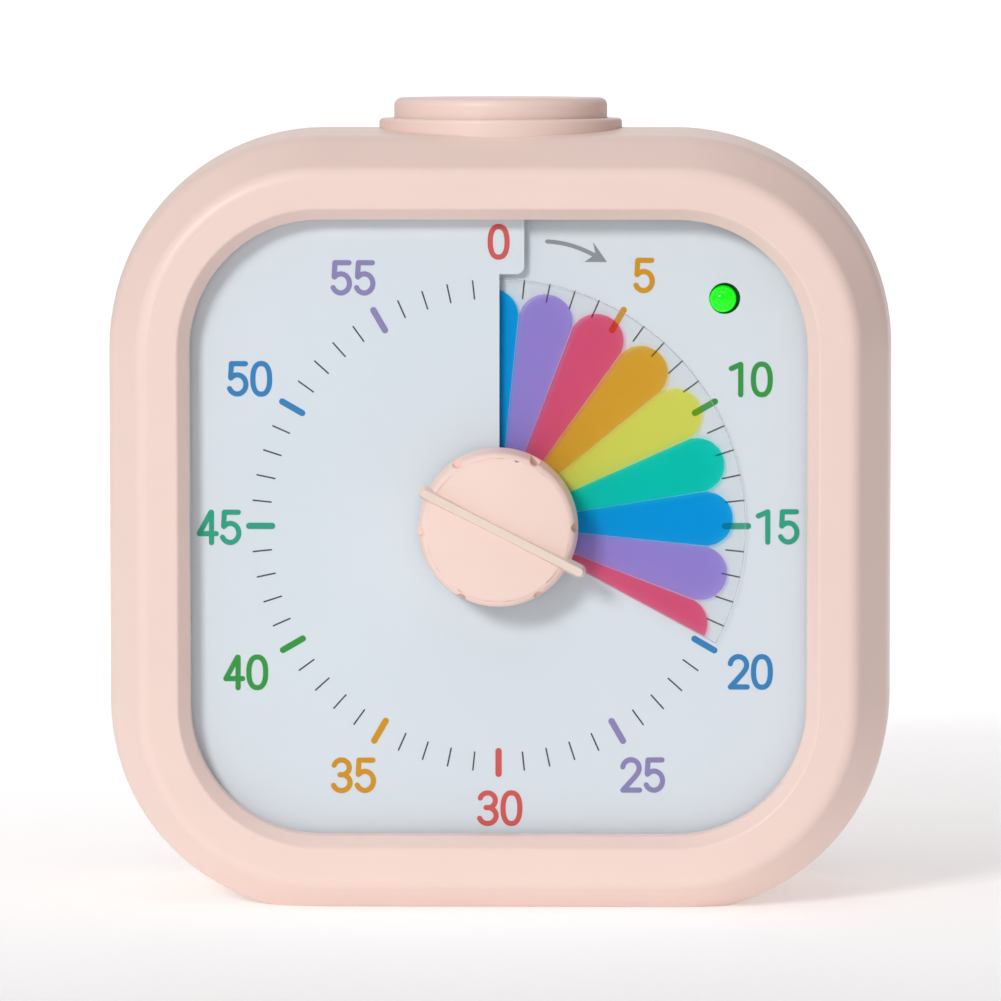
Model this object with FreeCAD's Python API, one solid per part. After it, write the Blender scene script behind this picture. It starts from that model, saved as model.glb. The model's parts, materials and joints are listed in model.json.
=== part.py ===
import FreeCAD, Part
import math
import os

V = FreeCAD.Vector
os.makedirs("parts", exist_ok=True)

# Desk-top visual countdown timer, millimetres.
# Frame: front faces -Y, +X is the viewer's right, +Z up.
# Origin: middle of the bounding box in X and Y, underside of the housing in Z.
# "d" is depth behind the flat ring round the window, counted towards +Y.

# ---------------------------------------------------------------- dimensions
HALF_W = 44.2            # half width at the ends; the sides swell out between them
MID_Z = 43.8             # middle of the square while it is being built
BASE_Z = 0.5             # the flat base is cut here, and becomes z = 0 at the end
CORNER_R = 24.1          # outer corner radius
DEPTH = 37.0             # ring plane to rear face
KNOB_PROUD = 2.3         # pointer ridge in front of the ring plane
WALL = 2.0
RING_IN = 15.95          # ring, inner edge, from the corner centre
RING_OUT = 20.2          # ring, outer edge (crest)
WINDOW = 14.7            # window wall
SLOPE_D = 6.3            # depth at which the outer slope meets the side
SLOPE_U = 24.0           # and its distance from the corner centre
SWELL_D = 19.0           # depth at which the side is widest
SWELL_U = 24.85
LIP_D = 4.15             # rear end of the window wall
PART_D = 34.3            # parting plane between housing and cover

DIAL_Z = 43.9            # height of the dial's centre
DIAL_D = 5.0             # mean depth of the dial
PITCH = 1.2              # rise of the dial and of the disc in one turn
DIAL_T = 0.3
DIAL_HALF = 35.6
DIAL_BORE_R = 5.2
TAB_X = 2.9              # zero tab, to the right of the centre line
TAB_R = 28.5             # zero tab starts at this radius
DISC_R = 27.95
DISC_T = 0.2
HUB_R = 4.3
REST_DEG = 118.4         # film's leading edge at rest, clockwise from the top (19.7 minutes)
POINTER_DEG = 116.9      # the pointer bar stands a little short of the edge

KNOB_R_FRONT = 8.6
KNOB_R_BASE = 9.05
KNOB_BASE_D = 3.4
STEM = 4.4               # square stem
POINTER_TIP = 11.0
POINTER_TAIL = 9.95
ARBOR_R = 1.2
BORE_CLEAR = 0.05        # radial running clearance

LED_X = 25.5
LED_DZ = 25.75           # above the dial's centre
LED_R = 1.5

BTN_D = 20.2             # depth of the button's axis
CAP_R = 12.25
CAP_TOP = 92.1
CAP_CLEAR = 0.2
COLLAR_R = 13.95
COLLAR_TOP = 89.75
COLLAR_FOOT = 87.2
BTN_TRAVEL = 0.8

TEETH_WHEEL = 48
TEETH_PINION = 8
MOD_1 = 0.35             # knob wheel and intermediate pinion
MOD_2 = 0.25             # intermediate wheel and rotor pinion

CELL_R = 5.15
CELL_L = 43.5

ZC = MID_Z
CX = HALF_W - CORNER_R
CZ = CX
Y_MID = (DEPTH - KNOB_PROUD) / 2.0


def Y(d):
    return d - Y_MID


# ------------------------------------------------------------------ helpers
def rounded(pts):
    """Closed outline from (a, b, radius) corners, as a list of line and arc pieces in 2D."""
    n = len(pts)
    seg = []
    for i in range(n):
        a, p, b = pts[i - 1], pts[i], pts[(i + 1) % n]
        r = p[2] if len(p) > 2 else 0
        if r <= 0:
            seg.append(((p[0], p[1]), None, (p[0], p[1])))
            continue
        ax, ay = a[0] - p[0], a[1] - p[1]
        bx, by = b[0] - p[0], b[1] - p[1]
        la, lb = math.hypot(ax, ay), math.hypot(bx, by)
        ax, ay, bx, by = ax / la, ay / la, bx / lb, by / lb
        ang = math.acos(max(-1, min(1, ax * bx + ay * by)))
        t = r / math.tan(ang / 2)
        s = (p[0] + ax * t, p[1] + ay * t)
        e = (p[0] + bx * t, p[1] + by * t)
        mx, my = ax + bx, ay + by
        lm = math.hypot(mx, my)
        k = r / math.sin(ang / 2) - r
        seg.append((s, (p[0] + mx / lm * k, p[1] + my / lm * k), e))
    return seg


def face_of(pts, to3d):
    seg = rounded(pts)
    edges = []
    n = len(seg)
    for i in range(n):
        s, m, e = seg[i]
        if m is not None:
            edges.append(Part.Arc(to3d(*s), to3d(*m), to3d(*e)).toShape())
        nxt = seg[(i + 1) % n][0]
        if math.hypot(nxt[0] - e[0], nxt[1] - e[1]) > 1e-6:
            edges.append(Part.makeLine(to3d(*e), to3d(*nxt)))
    return Part.Face(Part.Wire(edges))


def one(shape):
    """The single solid of a boolean result."""
    s = shape.removeSplitter() if shape.ShapeType != "Solid" else shape
    solids = s.Solids
    if len(solids) != 1:
        solids = sorted(solids, key=lambda q: -q.Volume)
        print("  pieces:", [round(q.Volume, 3) for q in solids])
    return solids[0]


def frame_sweep(pts, filled):
    """A profile in (distance from the corner centre, depth), carried round the rounded square."""
    parts = []
    for sx, sz, a0 in ((1, 1, 0), (-1, 1, 90), (-1, -1, 180), (1, -1, 270)):
        cx, cz = sx * CX, ZC + sz * CZ
        f = face_of(pts, lambda u, d: V(cx + u, Y(d), cz))
        f.rotate(V(cx, 0, cz), V(0, 1, 0), -a0)
        parts.append(f.revolve(V(cx, 0, cz), V(0, 1, 0), -90))
    for sx in (1, -1):
        f = face_of(pts, lambda u, d: V(sx * (CX + u), Y(d), ZC - CZ))
        parts.append(f.extrude(V(0, 0, 2 * CZ)))
    for sz in (1, -1):
        f = face_of(pts, lambda u, d: V(-CX, Y(d), ZC + sz * (CZ + u)))
        parts.append(f.extrude(V(2 * CX, 0, 0)))
    if filled:
        d0, d1 = filled
        parts.append(Part.makeBox(2 * CX, d1 - d0, 2 * CZ, V(-CX, Y(d0), ZC - CZ)))
    return one(parts[0].multiFuse(parts[1:]))


def rprism(u, d0, d1):
    """Rounded square prism whose side stands u outside the corner centres."""
    pts = [(-CX - u, ZC - CZ - u, u), (CX + u, ZC - CZ - u, u),
           (CX + u, ZC + CZ + u, u), (-CX - u, ZC + CZ + u, u)]
    return face_of(pts, lambda x, z: V(x, Y(d0), z)).extrude(V(0, d1 - d0, 0))


def cyl_y(x, z, r, d0, d1):
    return Part.makeCylinder(r, d1 - d0, V(x, Y(d0), z), V(0, 1, 0))


def cyl_z(x, d, r, z0, z1):
    return Part.makeCylinder(r, z1 - z0, V(x, Y(d), z0), V(0, 0, 1))


def cyl_x(z, d, r, x0, x1):
    return Part.makeCylinder(r, x1 - x0, V(x0, Y(d), z), V(1, 0, 0))


def cone_x(z, d, r0, r1, x0, x1):
    return Part.makeCone(r0, r1, x1 - x0, V(x0, Y(d), z), V(1, 0, 0))


def box(x0, x1, d0, d1, z0, z1):
    return Part.makeBox(x1 - x0, d1 - d0, z1 - z0, V(x0, Y(d0), z0))


def rbox_y(x0, x1, d0, d1, z0, z1, r):
    """Plate with rounded corners, thickness along Y."""
    pts = [(x0, z0, r), (x1, z0, r), (x1, z1, r), (x0, z1, r)]
    return face_of(pts, lambda x, z: V(x, Y(d0), z)).extrude(V(0, d1 - d0, 0))


def rbox_z(x0, x1, d0, d1, z0, z1, r):
    """Plate with rounded corners, thickness along Z."""
    pts = [(x0, d0, r), (x1, d0, r), (x1, d1, r), (x0, d1, r)]
    return face_of(pts, lambda x, d: V(x, Y(d), z0)).extrude(V(0, 0, z1 - z0))


def revolve_y(pts, x, z):
    f = face_of(pts, lambda r, d: V(x + r, Y(d), z))
    return f.revolve(V(x, 0, z), V(0, 1, 0), 360)


def revolve_z(pts, x, d):
    f = face_of(pts, lambda r, z: V(x + r, Y(d), z))
    return f.revolve(V(x, Y(d), 0), V(0, 0, 1), 360)


def clock_point(r, deg, h):
    """Point at radius r, deg clockwise from the top, h in front of the dial's mean plane."""
    a = math.radians(deg)
    return V(r * math.sin(a), Y(DIAL_D) - h, DIAL_Z + r * math.cos(a))


def helicoid(r0, r1, a0, a1, h0, thick):
    """Spiral sheet between two radii, h = h0 + PITCH * angle / 360, centred on its mid surface."""
    n = max(4, int(math.ceil((a1 - a0) / 12.0)) + 1)
    edges = []
    for r in (r0, r1):
        c = Part.BSplineCurve()
        c.interpolate([clock_point(r, a0 + (a1 - a0) * i / (n - 1.0),
                                   h0 + PITCH * (a0 + (a1 - a0) * i / (n - 1.0)) / 360.0 + thick / 2.0)
                       for i in range(n)])
        edges.append(c.toShape())
    return Part.makeRuledSurface(edges[0], edges[1]).extrude(V(0, thick, 0))


def involute_gear(teeth, mod, add, ded, d0, d1, x, z, turn, bore_r, press=25.0, slack=0.045):
    """Spur gear, tooth 0 pointing at angle 'turn' (counter-clockwise from +X in the X-Z view)."""
    rp = teeth * mod / 2.0
    rb = rp * math.cos(math.radians(press))
    ra, rf = rp + add * mod, rp - ded * mod

    def inv(r):
        if r <= rb:
            return 0.0
        a = math.acos(rb / r)
        return math.tan(a) - a

    half = math.pi / (2.0 * teeth) - slack / rp / 2.0
    base = half + inv(rp)
    radii = [max(rb, rf + 0.01), rp, ra]
    pts = []
    for k in range(teeth):
        c = turn + 2 * math.pi * k / teeth
        flank = [(r, base - inv(r)) for r in radii]
        pts.append((rf, c - flank[0][1]))
        for r, w in flank:
            pts.append((r, c - w))
        for r, w in reversed(flank):
            pts.append((r, c + w))
        pts.append((rf, c + flank[0][1]))
    vs = []
    for r, a in pts:
        p = V(x + r * math.cos(a), Y(d0), z + r * math.sin(a))
        if not vs or (p - vs[-1]).Length > 1e-4:
            vs.append(p)
    vs.append(vs[0])
    g = Part.Face(Part.makePolygon(vs)).extrude(V(0, d1 - d0, 0))
    if bore_r:
        g = one(g.cut(cyl_y(x, z, bore_r, d0 - 1, d1 + 1)))
    return g


def screw_y(x, z, d_seat, d_tip, shank_r, head_r, head_h):
    """Pan-head screw, head towards the rear, with a cross recess."""
    s = cyl_y(x, z, shank_r, d_tip, d_seat)
    h = revolve_y([(0, d_seat), (head_r, d_seat), (head_r, d_seat + head_h, 0.45), (0, d_seat + head_h)], x, z)
    s = s.fuse(h)
    w = head_r * 0.28
    for a, b in ((head_r * 0.62, w / 2), (w / 2, head_r * 0.62)):
        s = s.cut(box(x - a, x + a, d_seat + head_h * 0.45, d_seat + head_h + 1, z - b, z + b))
    return one(s)


nodes = {}

# ------------------------------------------------------------- front housing
housing = frame_sweep([
    (WINDOW, LIP_D), (WINDOW, 1.9, 0.3), (RING_IN, 0.0, 0.4), (RING_OUT, 0.0, 1.7),
    (SLOPE_U, SLOPE_D, 5.5), (SWELL_U, SWELL_D, 18.0), (CORNER_R, PART_D, 0.2), (CORNER_R - 0.9, PART_D),
    (CORNER_R - 0.9, 32.9), (CORNER_R - WALL, 32.9), (CORNER_R - WALL, 6.9, 0.8),
    (19.2, 2.2, 0.4), (16.4, 2.2, 0.3), (16.4, LIP_D)], None)

# the base is flat
FLOOR = box(-50, 50, -5, 45, -5, BASE_Z)

BOSS_D0, BOSS_D1 = 8.2, 29.95
boss_at = [(sx * (CX + 12.87), ZC + sz * (CZ + 12.87)) for sx in (1, -1) for sz in (1, -1)]
add = []
for sx in (1, -1):
    for sz in (1, -1):
        x, z = sx * (CX + 12.87), ZC + sz * (CZ + 12.87)
        add.append(cyl_y(x, z, 3.2, BOSS_D0, BOSS_D1))
        k = 20.55 / math.sqrt(2)
        add.append(cyl_y(sx * (CX + k), ZC + sz * (CZ + k), 2.0, BOSS_D0, BOSS_D1))
carrier_at = [(sx * 14.0, ZC + sz * (CZ + 17.6)) for sx in (1, -1) for sz in (1, -1)]
for x, z in carrier_at:
    add.append(cyl_y(x, z, 1.9, 2.0, 6.65))
TOP_IN = ZC + CZ + CORNER_R - WALL
for sx in (1, -1):
    add.append(cyl_z(sx * 17.0, BTN_D, 2.5, 74.0, TOP_IN + 0.6))
housing = housing.multiFuse(add)
for x, z in boss_at:
    housing = housing.cut(cyl_y(x, z, 1.3, 17.0, BOSS_D1 + 1))
for x, z in carrier_at:
    housing = housing.cut(cyl_y(x, z, 1.0, 3.2, 7.0))
for sx in (1, -1):
    housing = housing.cut(cyl_z(sx * 17.0, BTN_D, 1.1, 73.0, 80.5))
housing = housing.cut(cyl_z(0, BTN_D, CAP_R + CAP_CLEAR, 80, 95))
housing = housing.cut(cyl_z(0, BTN_D, COLLAR_R + 0.05, COLLAR_FOOT, 95))
housing = housing.cut(FLOOR)
nodes["front_housing"] = one(housing)

# ------------------------------------------------------- battery compartment
BX, BZ0, BZ1 = 26.0, 8.6, 35.0          # cavity
cover = frame_sweep([
    (0, 35.2), (CORNER_R - 1.9, 35.2, 0.5), (CORNER_R - 1.9, 33.0), (CORNER_R - 1.0, 33.0),
    (CORNER_R - 1.0, PART_D + 0.05), (CORNER_R, PART_D + 0.05, 0.2), (CORNER_R, DEPTH, 1.8), (0, DEPTH)],
    (35.2, DEPTH))
extra = [rbox_y(-BX - 1.2, BX + 1.2, 23.0, 35.6, BZ0 - 1.2, BZ1 + 1.2, 1.5)]
for x, z in boss_at:
    extra.append(cyl_y(x, z, 3.6, 30.0, 35.5))
cover = cover.multiFuse(extra)
cover = cover.cut(rbox_y(-BX, BX, 24.2, 38, BZ0, BZ1, 1.0))
cover = cover.cut(rbox_y(-BX - 1.0, BX + 1.0, 35.3, 38, BZ0 - 1.0, BZ1 + 1.0, 1.2))
cover = cover.cut(rbox_y(-5.5, 5.5, 35.9, 38, BZ1 - 1, BZ1 + 4.0, 1.6))
for x, z in boss_at:
    cover = cover.cut(cyl_y(x, z, 2.7, 32.0, 38)).cut(cyl_y(x, z, 1.5, 29, 33))
SW_X, SW_Z = 20.0, 65.8
cover = cover.cut(rbox_y(SW_X - 7, SW_X + 7, 36.1, 38, SW_Z - 3.4, SW_Z + 3.4, 1.4))
cover = cover.cut(rbox_y(SW_X - 3.9, SW_X + 3.9, 35, 38, SW_Z - 1.5, SW_Z + 1.5, 0.6))
for i in range(5):
    z = 60.4 + 2.7 * i
    cover = cover.cut(rbox_y(-27.0, -15.0, 35, 38, z - 0.6, z + 0.6, 0.58))
# divider rib between the two cells
cover = cover.fuse(box(-16.0, 16.0, 24.0, 27.4, 21.3, 22.3))
cover = cover.cut(FLOOR)
nodes["back_cover"] = one(cover)

door = rbox_y(-BX - 0.75, BX + 0.75, 35.35, 36.95, BZ0 - 0.75, BZ1 + 0.75, 1.0)
door = door.fuse(rbox_y(-3.6, 3.6, 36.1, 36.95, BZ1 - 1.0, BZ1 + 3.0, 1.2))
for i in range(6):
    x = -6.0 + 2.4 * i
    door = door.cut(box(x - 0.45, x + 0.45, 36.55, 38, 27.0, 32.6))
for sx in (1, -1):
    door = door.fuse(box(sx * 18 - 6, sx * 18 + 6, 34.6 + 0.35, 35.45, 21.3, 22.3))
nodes["battery_door"] = one(door)

cells = []
plates = []
springs = []
CELL_D = 24.2 + 0.3 + CELL_R
for z, s in ((28.0, 1), (15.6, -1)):
    tip = s * 25.6
    a, b = sorted((tip - s * 1.0, tip - s * (1.0 + CELL_L)))
    body = cyl_x(z, CELL_D, CELL_R, a, b)
    n0, n1 = sorted((tip, tip - s * 1.05))
    body = body.fuse(cyl_x(z, CELL_D, 1.9, n0, n1))
    cells.append(one(body))
    for t in (1, -1):
        p0, p1 = sorted((t * 25.6, t * 25.98))
        plates.append(box(p0, p1, 25.4, 33.8, z - 4.4, z + 4.4))
    e0 = tip - s * (1.0 + CELL_L)           # flat end of the cell
    e1 = -s * 25.6
    x0, x1 = sorted((e0, e1))
    wide, slim = (3.6, 2.2)
    r0, r1 = (slim, wide) if x1 == e1 else (wide, slim)
    springs.append(one(cone_x(z, CELL_D, r0, r1, x0, x1).cut(cone_x(z, CELL_D, r0 - 0.5, r1 - 0.5, x0, x1))))
nodes["batteries"] = Part.makeCompound(cells)
nodes["battery_contacts"] = Part.makeCompound(plates)
nodes["contact_springs"] = Part.makeCompound(springs)
nodes["case_screws"] = Part.makeCompound([screw_y(x, z, 32.0, 20.0, 1.27, 2.4, 1.8) for x, z in boss_at])

# -------------------------------------------------------------------- button
nodes["button_collar"] = one(revolve_z([
    (CAP_R + CAP_CLEAR, COLLAR_FOOT), (COLLAR_R, COLLAR_FOOT), (COLLAR_R, COLLAR_TOP, 0.45),
    (CAP_R + CAP_CLEAR, COLLAR_TOP, 0.15)], 0, BTN_D))
nodes["button_cap"] = one(revolve_z([
    (0, CAP_TOP), (CAP_R, CAP_TOP, 0.9), (CAP_R, 85.2), (CAP_R + 0.95, 85.2), (CAP_R + 0.95, 84.4),
    (CAP_R - 1.35, 84.4), (CAP_R - 1.35, 90.7, 0.5), (2.0, 90.7, 0.4), (2.0, 78.9, 0.3), (0, 78.9)], 0, BTN_D))
nodes["button_spring"] = cyl_z(0, BTN_D, 5.4, 74.0, 90.7).cut(cyl_z(0, BTN_D, 4.75, 73, 91))
bb = rbox_z(-20.0, 20.0, 13.6, 26.8, 72.4, 74.0, 1.0)
for sx in (1, -1):
    bb = bb.cut(cyl_z(sx * 17.0, BTN_D, 1.2, 72, 75))
nodes["button_board"] = one(bb)
sw = rbox_z(-3.0, 3.0, BTN_D - 3.0, BTN_D + 3.0, 74.0, 77.4, 0.4)
nodes["tact_switch"] = one(sw.cut(cyl_z(0, BTN_D, 1.75, 75.4, 78)))
nodes["tact_plunger"] = revolve_z([(0, 76.1), (1.7, 76.1), (1.7, 78.4, 0.3), (0, 78.4)], 0, BTN_D)

# ---------------------------------------------------------------- dial sheet
dial = helicoid(DIAL_BORE_R, 52.0, -5.0, 367.0, -PITCH / 2.0, DIAL_T)
dial = dial.common(rprism(DIAL_HALF - CX, 2.0, 8.0))
up0, up1 = DIAL_D - 1.3, DIAL_D - 0.05       # depth band of the upper sheet near the slit
dial = dial.cut(box(0.1, 9.0, up0, up1, DIAL_Z, DIAL_Z + TAB_R))
dial = dial.cut(box(TAB_X, 16.0, up0, up1, DIAL_Z + 10, DIAL_Z + 40))
corner = box(TAB_X - 0.9, TAB_X + 1, up0, up1, DIAL_Z + TAB_R - 1, DIAL_Z + TAB_R + 0.9)
corner = corner.cut(cyl_y(TAB_X - 0.9, DIAL_Z + TAB_R + 0.9, 0.9, 2, 8))
dial = dial.cut(corner)
dial = dial.cut(cyl_y(LED_X, DIAL_Z + LED_DZ, 1.76, 2, 9))
nodes["dial_sheet"] = one(dial)

# ------------------------------------------------------------- dial carrier
carrier = rprism(18.8, 4.2, 8.0)
carrier = carrier.cut(cyl_y(0, DIAL_Z, 28.7, 3, 6.65))
# everything in front of the dial's rear face goes
back_h = -PITCH / 2.0 - DIAL_T / 2.0 - 0.03 + 1.6
front_cut = helicoid(27.5, 60.0, 0.0, 360.0, back_h, 3.2)
carrier = carrier.cut(front_cut)
# pocket for the strip of the lower sheet that runs on under the upper one
carrier = carrier.cut(helicoid(27.5, 60.0, -6.5, 0.2, back_h, 3.2))
carrier = carrier.cut(cyl_y(0, DIAL_Z, 3.6, 3, 9))
for x, z in carrier_at:
    carrier = carrier.cut(cyl_y(x, z, 2.1, 3, 6.65)).cut(cyl_y(x, z, 1.15, 3, 9))
carrier = carrier.cut(cyl_y(LED_X, DIAL_Z + LED_DZ, 2.05, 3, 9))
board_at = [(17.0, 36.0), (17.0, 66.5)]
for x, z in board_at:
    carrier = carrier.fuse(cyl_y(x, z, 2.2, 7.5, 11.95))
    carrier = carrier.cut(cyl_y(x, z, 0.95, 8.6, 13))
MX0, MX1, MZ0, MZ1 = -23.0, 11.6, DIAL_Z - 19.6, DIAL_Z + 11.6
move_at = [(MX0 + 2.3, MZ0 + 2.3), (MX1 - 2.3, MZ0 + 2.3), (MX1 - 2.3, MZ1 - 2.3), (MX0 + 2.3, MZ1 - 2.3)]
for x, z in move_at:
    carrier = carrier.cut(cyl_y(x, z, 0.9, 7.0, 9))
nodes["dial_carrier"] = one(carrier)
nodes["carrier_screws"] = Part.makeCompound([screw_y(x, z, 8.0, 3.6, 1.0, 1.9, 1.2) for x, z in carrier_at])

# ------------------------------------------------------ knob, hub and disc
knob = revolve_y([(0, -1.75), (4.3, -1.75, 60.0), (KNOB_R_FRONT, -1.2, 0.9), (KNOB_R_BASE, KNOB_BASE_D, 0.3),
                  (5.1, KNOB_BASE_D), (5.1, 2.8), (0, 2.8)], 0, DIAL_Z)
stem = rbox_y(-STEM / 2, STEM / 2, 2.6, 6.5, DIAL_Z - STEM / 2, DIAL_Z + STEM / 2, 0.35)
stem.rotate(V(0, 0, DIAL_Z), V(0, 1, 0), REST_DEG)
knob = knob.fuse(stem)
for i in range(6):
    a = REST_DEG + 30 + 60 * i
    p = clock_point(8.8, a, 0)
    knob = knob.cut(cyl_y(p.x, p.z, 0.6, -3, 2.4))     # grip notch, closed by the foot
knob = knob.cut(cyl_y(0, DIAL_Z, ARBOR_R, 0.3, 8))


def stadium(half_w, lo, hi, d):
    """Slot outline along the pointer's direction; built upright, then turned."""
    a = Part.Arc(V(-half_w, Y(d), DIAL_Z + hi - half_w), V(0, Y(d), DIAL_Z + hi),
                 V(half_w, Y(d), DIAL_Z + hi - half_w)).toShape()
    b = Part.Arc(V(half_w, Y(d), DIAL_Z - lo + half_w), V(0, Y(d), DIAL_Z - lo),
                 V(-half_w, Y(d), DIAL_Z - lo + half_w)).toShape()
    l1 = Part.makeLine(V(half_w, Y(d), DIAL_Z + hi - half_w), V(half_w, Y(d), DIAL_Z - lo + half_w))
    l2 = Part.makeLine(V(-half_w, Y(d), DIAL_Z - lo + half_w), V(-half_w, Y(d), DIAL_Z + hi - half_w))
    return Part.Wire([a, l1, b, l2])


pointer = Part.makeLoft([stadium(0.78, POINTER_TAIL, POINTER_TIP, -0.45),
                         stadium(0.42, POINTER_TAIL - 0.35, POINTER_TIP - 0.35, -KNOB_PROUD)], True, True)
pointer.rotate(V(0, 0, DIAL_Z), V(0, 1, 0), POINTER_DEG)
nodes["pointer_bar"] = one(pointer)
nodes["knob"] = one(knob.cut(pointer))

hub_top = PITCH * REST_DEG / 360.0 + 0.15
hub_low = PITCH * REST_DEG / 360.0 - PITCH - 0.15
hub = cyl_y(0, DIAL_Z, HUB_R, DIAL_D - hub_top, DIAL_D - hub_low)
sq = rbox_y(-STEM / 2 - BORE_CLEAR, STEM / 2 + BORE_CLEAR, 2, 9, DIAL_Z - STEM / 2 - BORE_CLEAR,
            DIAL_Z + STEM / 2 + BORE_CLEAR, 0.3)
sq.rotate(V(0, 0, DIAL_Z), V(0, 1, 0), REST_DEG)
nodes["disc_hub"] = one(hub.cut(sq))
film = helicoid(HUB_R - 0.8, DISC_R + 3.0, REST_DEG - 360.0, REST_DEG, 0.0, DISC_T)
film = film.common(cyl_y(0, DIAL_Z, DISC_R, 1, 9).cut(cyl_y(0, DIAL_Z, HUB_R, 0, 10)))
nodes["time_disc"] = one(film)

# ------------------------------------------------------------------ movement
FW = 9.25                # rear face of the movement's front wall
MB = 16.5                # rear edge of its side walls
base = rbox_y(MX0, MX1, 8.05, MB, MZ0, MZ1, 2.0)
base = base.cut(rbox_y(MX0 + 1.2, MX1 - 1.2, FW, MB + 1, MZ0 + 1.2, MZ1 - 1.2, 1.0))
base = base.multiFuse([cyl_y(x, z, 2.3, 8.5, MB) for x, z in move_at])
for x, z in move_at:
    base = base.cut(cyl_y(x, z, 1.0, 8, MB + 1))
ang1 = math.radians(215.0)
D1 = (TEETH_WHEEL + TEETH_PINION) * MOD_1 / 2.0
D2 = (TEETH_WHEEL + TEETH_PINION) * MOD_2 / 2.0
IX, IZ = D1 * math.cos(ang1), DIAL_Z + D1 * math.sin(ang1)
ang2 = math.radians(200.0)
RX, RZ = IX + D2 * math.cos(ang2), IZ + D2 * math.sin(ang2)
base = base.cut(cyl_y(0, DIAL_Z, ARBOR_R + BORE_CLEAR, 8, 10))
for x, z in ((IX, IZ), (RX, RZ)):
    base = base.cut(cyl_y(x, z, 0.55, 8.6, 10))
nodes["movement_base"] = one(base)
mc = rbox_y(MX0, MX1, MB, 17.7, MZ0, MZ1, 2.0)
mc = mc.cut(cyl_y(0, DIAL_Z, ARBOR_R + BORE_CLEAR, 16, 18))
for x, z in ((IX, IZ), (RX, RZ)):
    mc = mc.cut(cyl_y(x, z, 0.55, 16, 17.3))
for x, z in move_at:
    mc = mc.cut(cyl_y(x, z, 1.0, 16, 18))
nodes["movement_cover"] = one(mc)
nodes["movement_screws"] = Part.makeCompound([screw_y(x, z, 17.7, 7.2, 0.9, 1.8, 1.1) for x, z in move_at])

arbor = cyl_y(0, DIAL_Z, ARBOR_R, 0.35, 17.9).fuse(cyl_y(0, DIAL_Z, 2.5, 9.5, 10.3))
nodes["centre_arbor"] = one(arbor)
t1 = ang1
wheel = involute_gear(TEETH_WHEEL, MOD_1, 0.7, 1.0, 11.0, 12.0, 0, DIAL_Z, t1, 0)
wheel = wheel.fuse(cyl_y(0, DIAL_Z, 2.2, 10.3, 12.0))
for i in range(4):
    a = ang1 + math.radians(45 + 90 * i)
    wheel = wheel.cut(cyl_y(5.1 * math.cos(a), DIAL_Z + 5.1 * math.sin(a), 1.7, 10, 13))
nodes["centre_wheel"] = one(wheel.cut(cyl_y(0, DIAL_Z, ARBOR_R, 10, 13)))
nodes["clutch_washer"] = cyl_y(0, DIAL_Z, 3.0, 12.0, 12.4).cut(cyl_y(0, DIAL_Z, ARBOR_R, 11, 13))
nodes["arbor_clip"] = cyl_y(0, DIAL_Z, 2.2, 12.4, 12.85).cut(cyl_y(0, DIAL_Z, ARBOR_R, 12, 13))

# the pinion has a gap where the wheel has its tooth
pt = ang1 + math.pi + math.pi / TEETH_PINION
inter = involute_gear(TEETH_PINION, MOD_1, 0.7, 1.0, 10.7, 12.9, IX, IZ, pt, 0)
t2 = ang2
iwheel = involute_gear(TEETH_WHEEL, MOD_2, 0.7, 1.0, 12.9, 13.7, IX, IZ, t2, 0)
for i in range(3):
    a = ang2 + math.radians(60 + 120 * i)
    iwheel = iwheel.cut(cyl_y(IX + 3.7 * math.cos(a), IZ + 3.7 * math.sin(a), 1.2, 12, 14))
inter = inter.fuse(iwheel).cut(cyl_y(IX, IZ, 0.5, 10, 15))
nodes["intermediate_wheel"] = one(inter)
nodes["intermediate_arbor"] = cyl_y(IX, IZ, 0.5, 8.75, 17.1)
pt2 = ang2 + math.pi + math.pi / TEETH_PINION
rp = involute_gear(TEETH_PINION, MOD_2, 0.7, 1.0, 12.6, 14.0, RX, RZ, pt2, 0)
rp = rp.fuse(cyl_y(RX, RZ, 0.5, 8.75, 17.1))
nodes["rotor_pinion"] = one(rp)
nodes["rotor_magnet"] = cyl_y(RX, RZ, 2.7, 9.9, 12.3).cut(cyl_y(RX, RZ, 0.5, 9, 13))

zc = DIAL_Z - 14.9
stator = cyl_y(RX, RZ, 4.9, 10.6, 11.6)
stator = stator.multiFuse([
    box(-19.6, RX, 10.6, 11.6, DIAL_Z - 17.0, RZ),
    box(RX, 7.0, 10.6, 11.6, DIAL_Z - 12.4, DIAL_Z - 9.6),
    box(3.9, 7.0, 10.6, 11.6, DIAL_Z - 17.0, DIAL_Z - 9.6)])
stator = stator.cut(cyl_y(RX, RZ, 3.2, 10, 12))
stator = stator.cut(cyl_y(IX, IZ, 2.1, 10, 12)).cut(cyl_x(zc, 12.0, 2.45, -11.4, 3.8))
for x, z in move_at:
    stator = stator.cut(cyl_y(x, z, 2.4, 10, 12))
nodes["stator"] = one(stator)
core = box(-18.2, 6.6, 11.6, 12.4, zc - 1.3, zc + 1.3)
nodes["coil_core"] = core
bob = cyl_x(zc, 12.0, 1.75, -11.2, 3.6).multiFuse([cyl_x(zc, 12.0, 2.35, -11.2, -10.6), cyl_x(zc, 12.0, 2.35, 3.0, 3.6)])
nodes["coil_bobbin"] = one(bob.cut(core))
nodes["coil_winding"] = cyl_x(zc, 12.0, 2.25, -10.6, 3.0).cut(cyl_x(zc, 12.0, 1.75, -11, 4))

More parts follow.
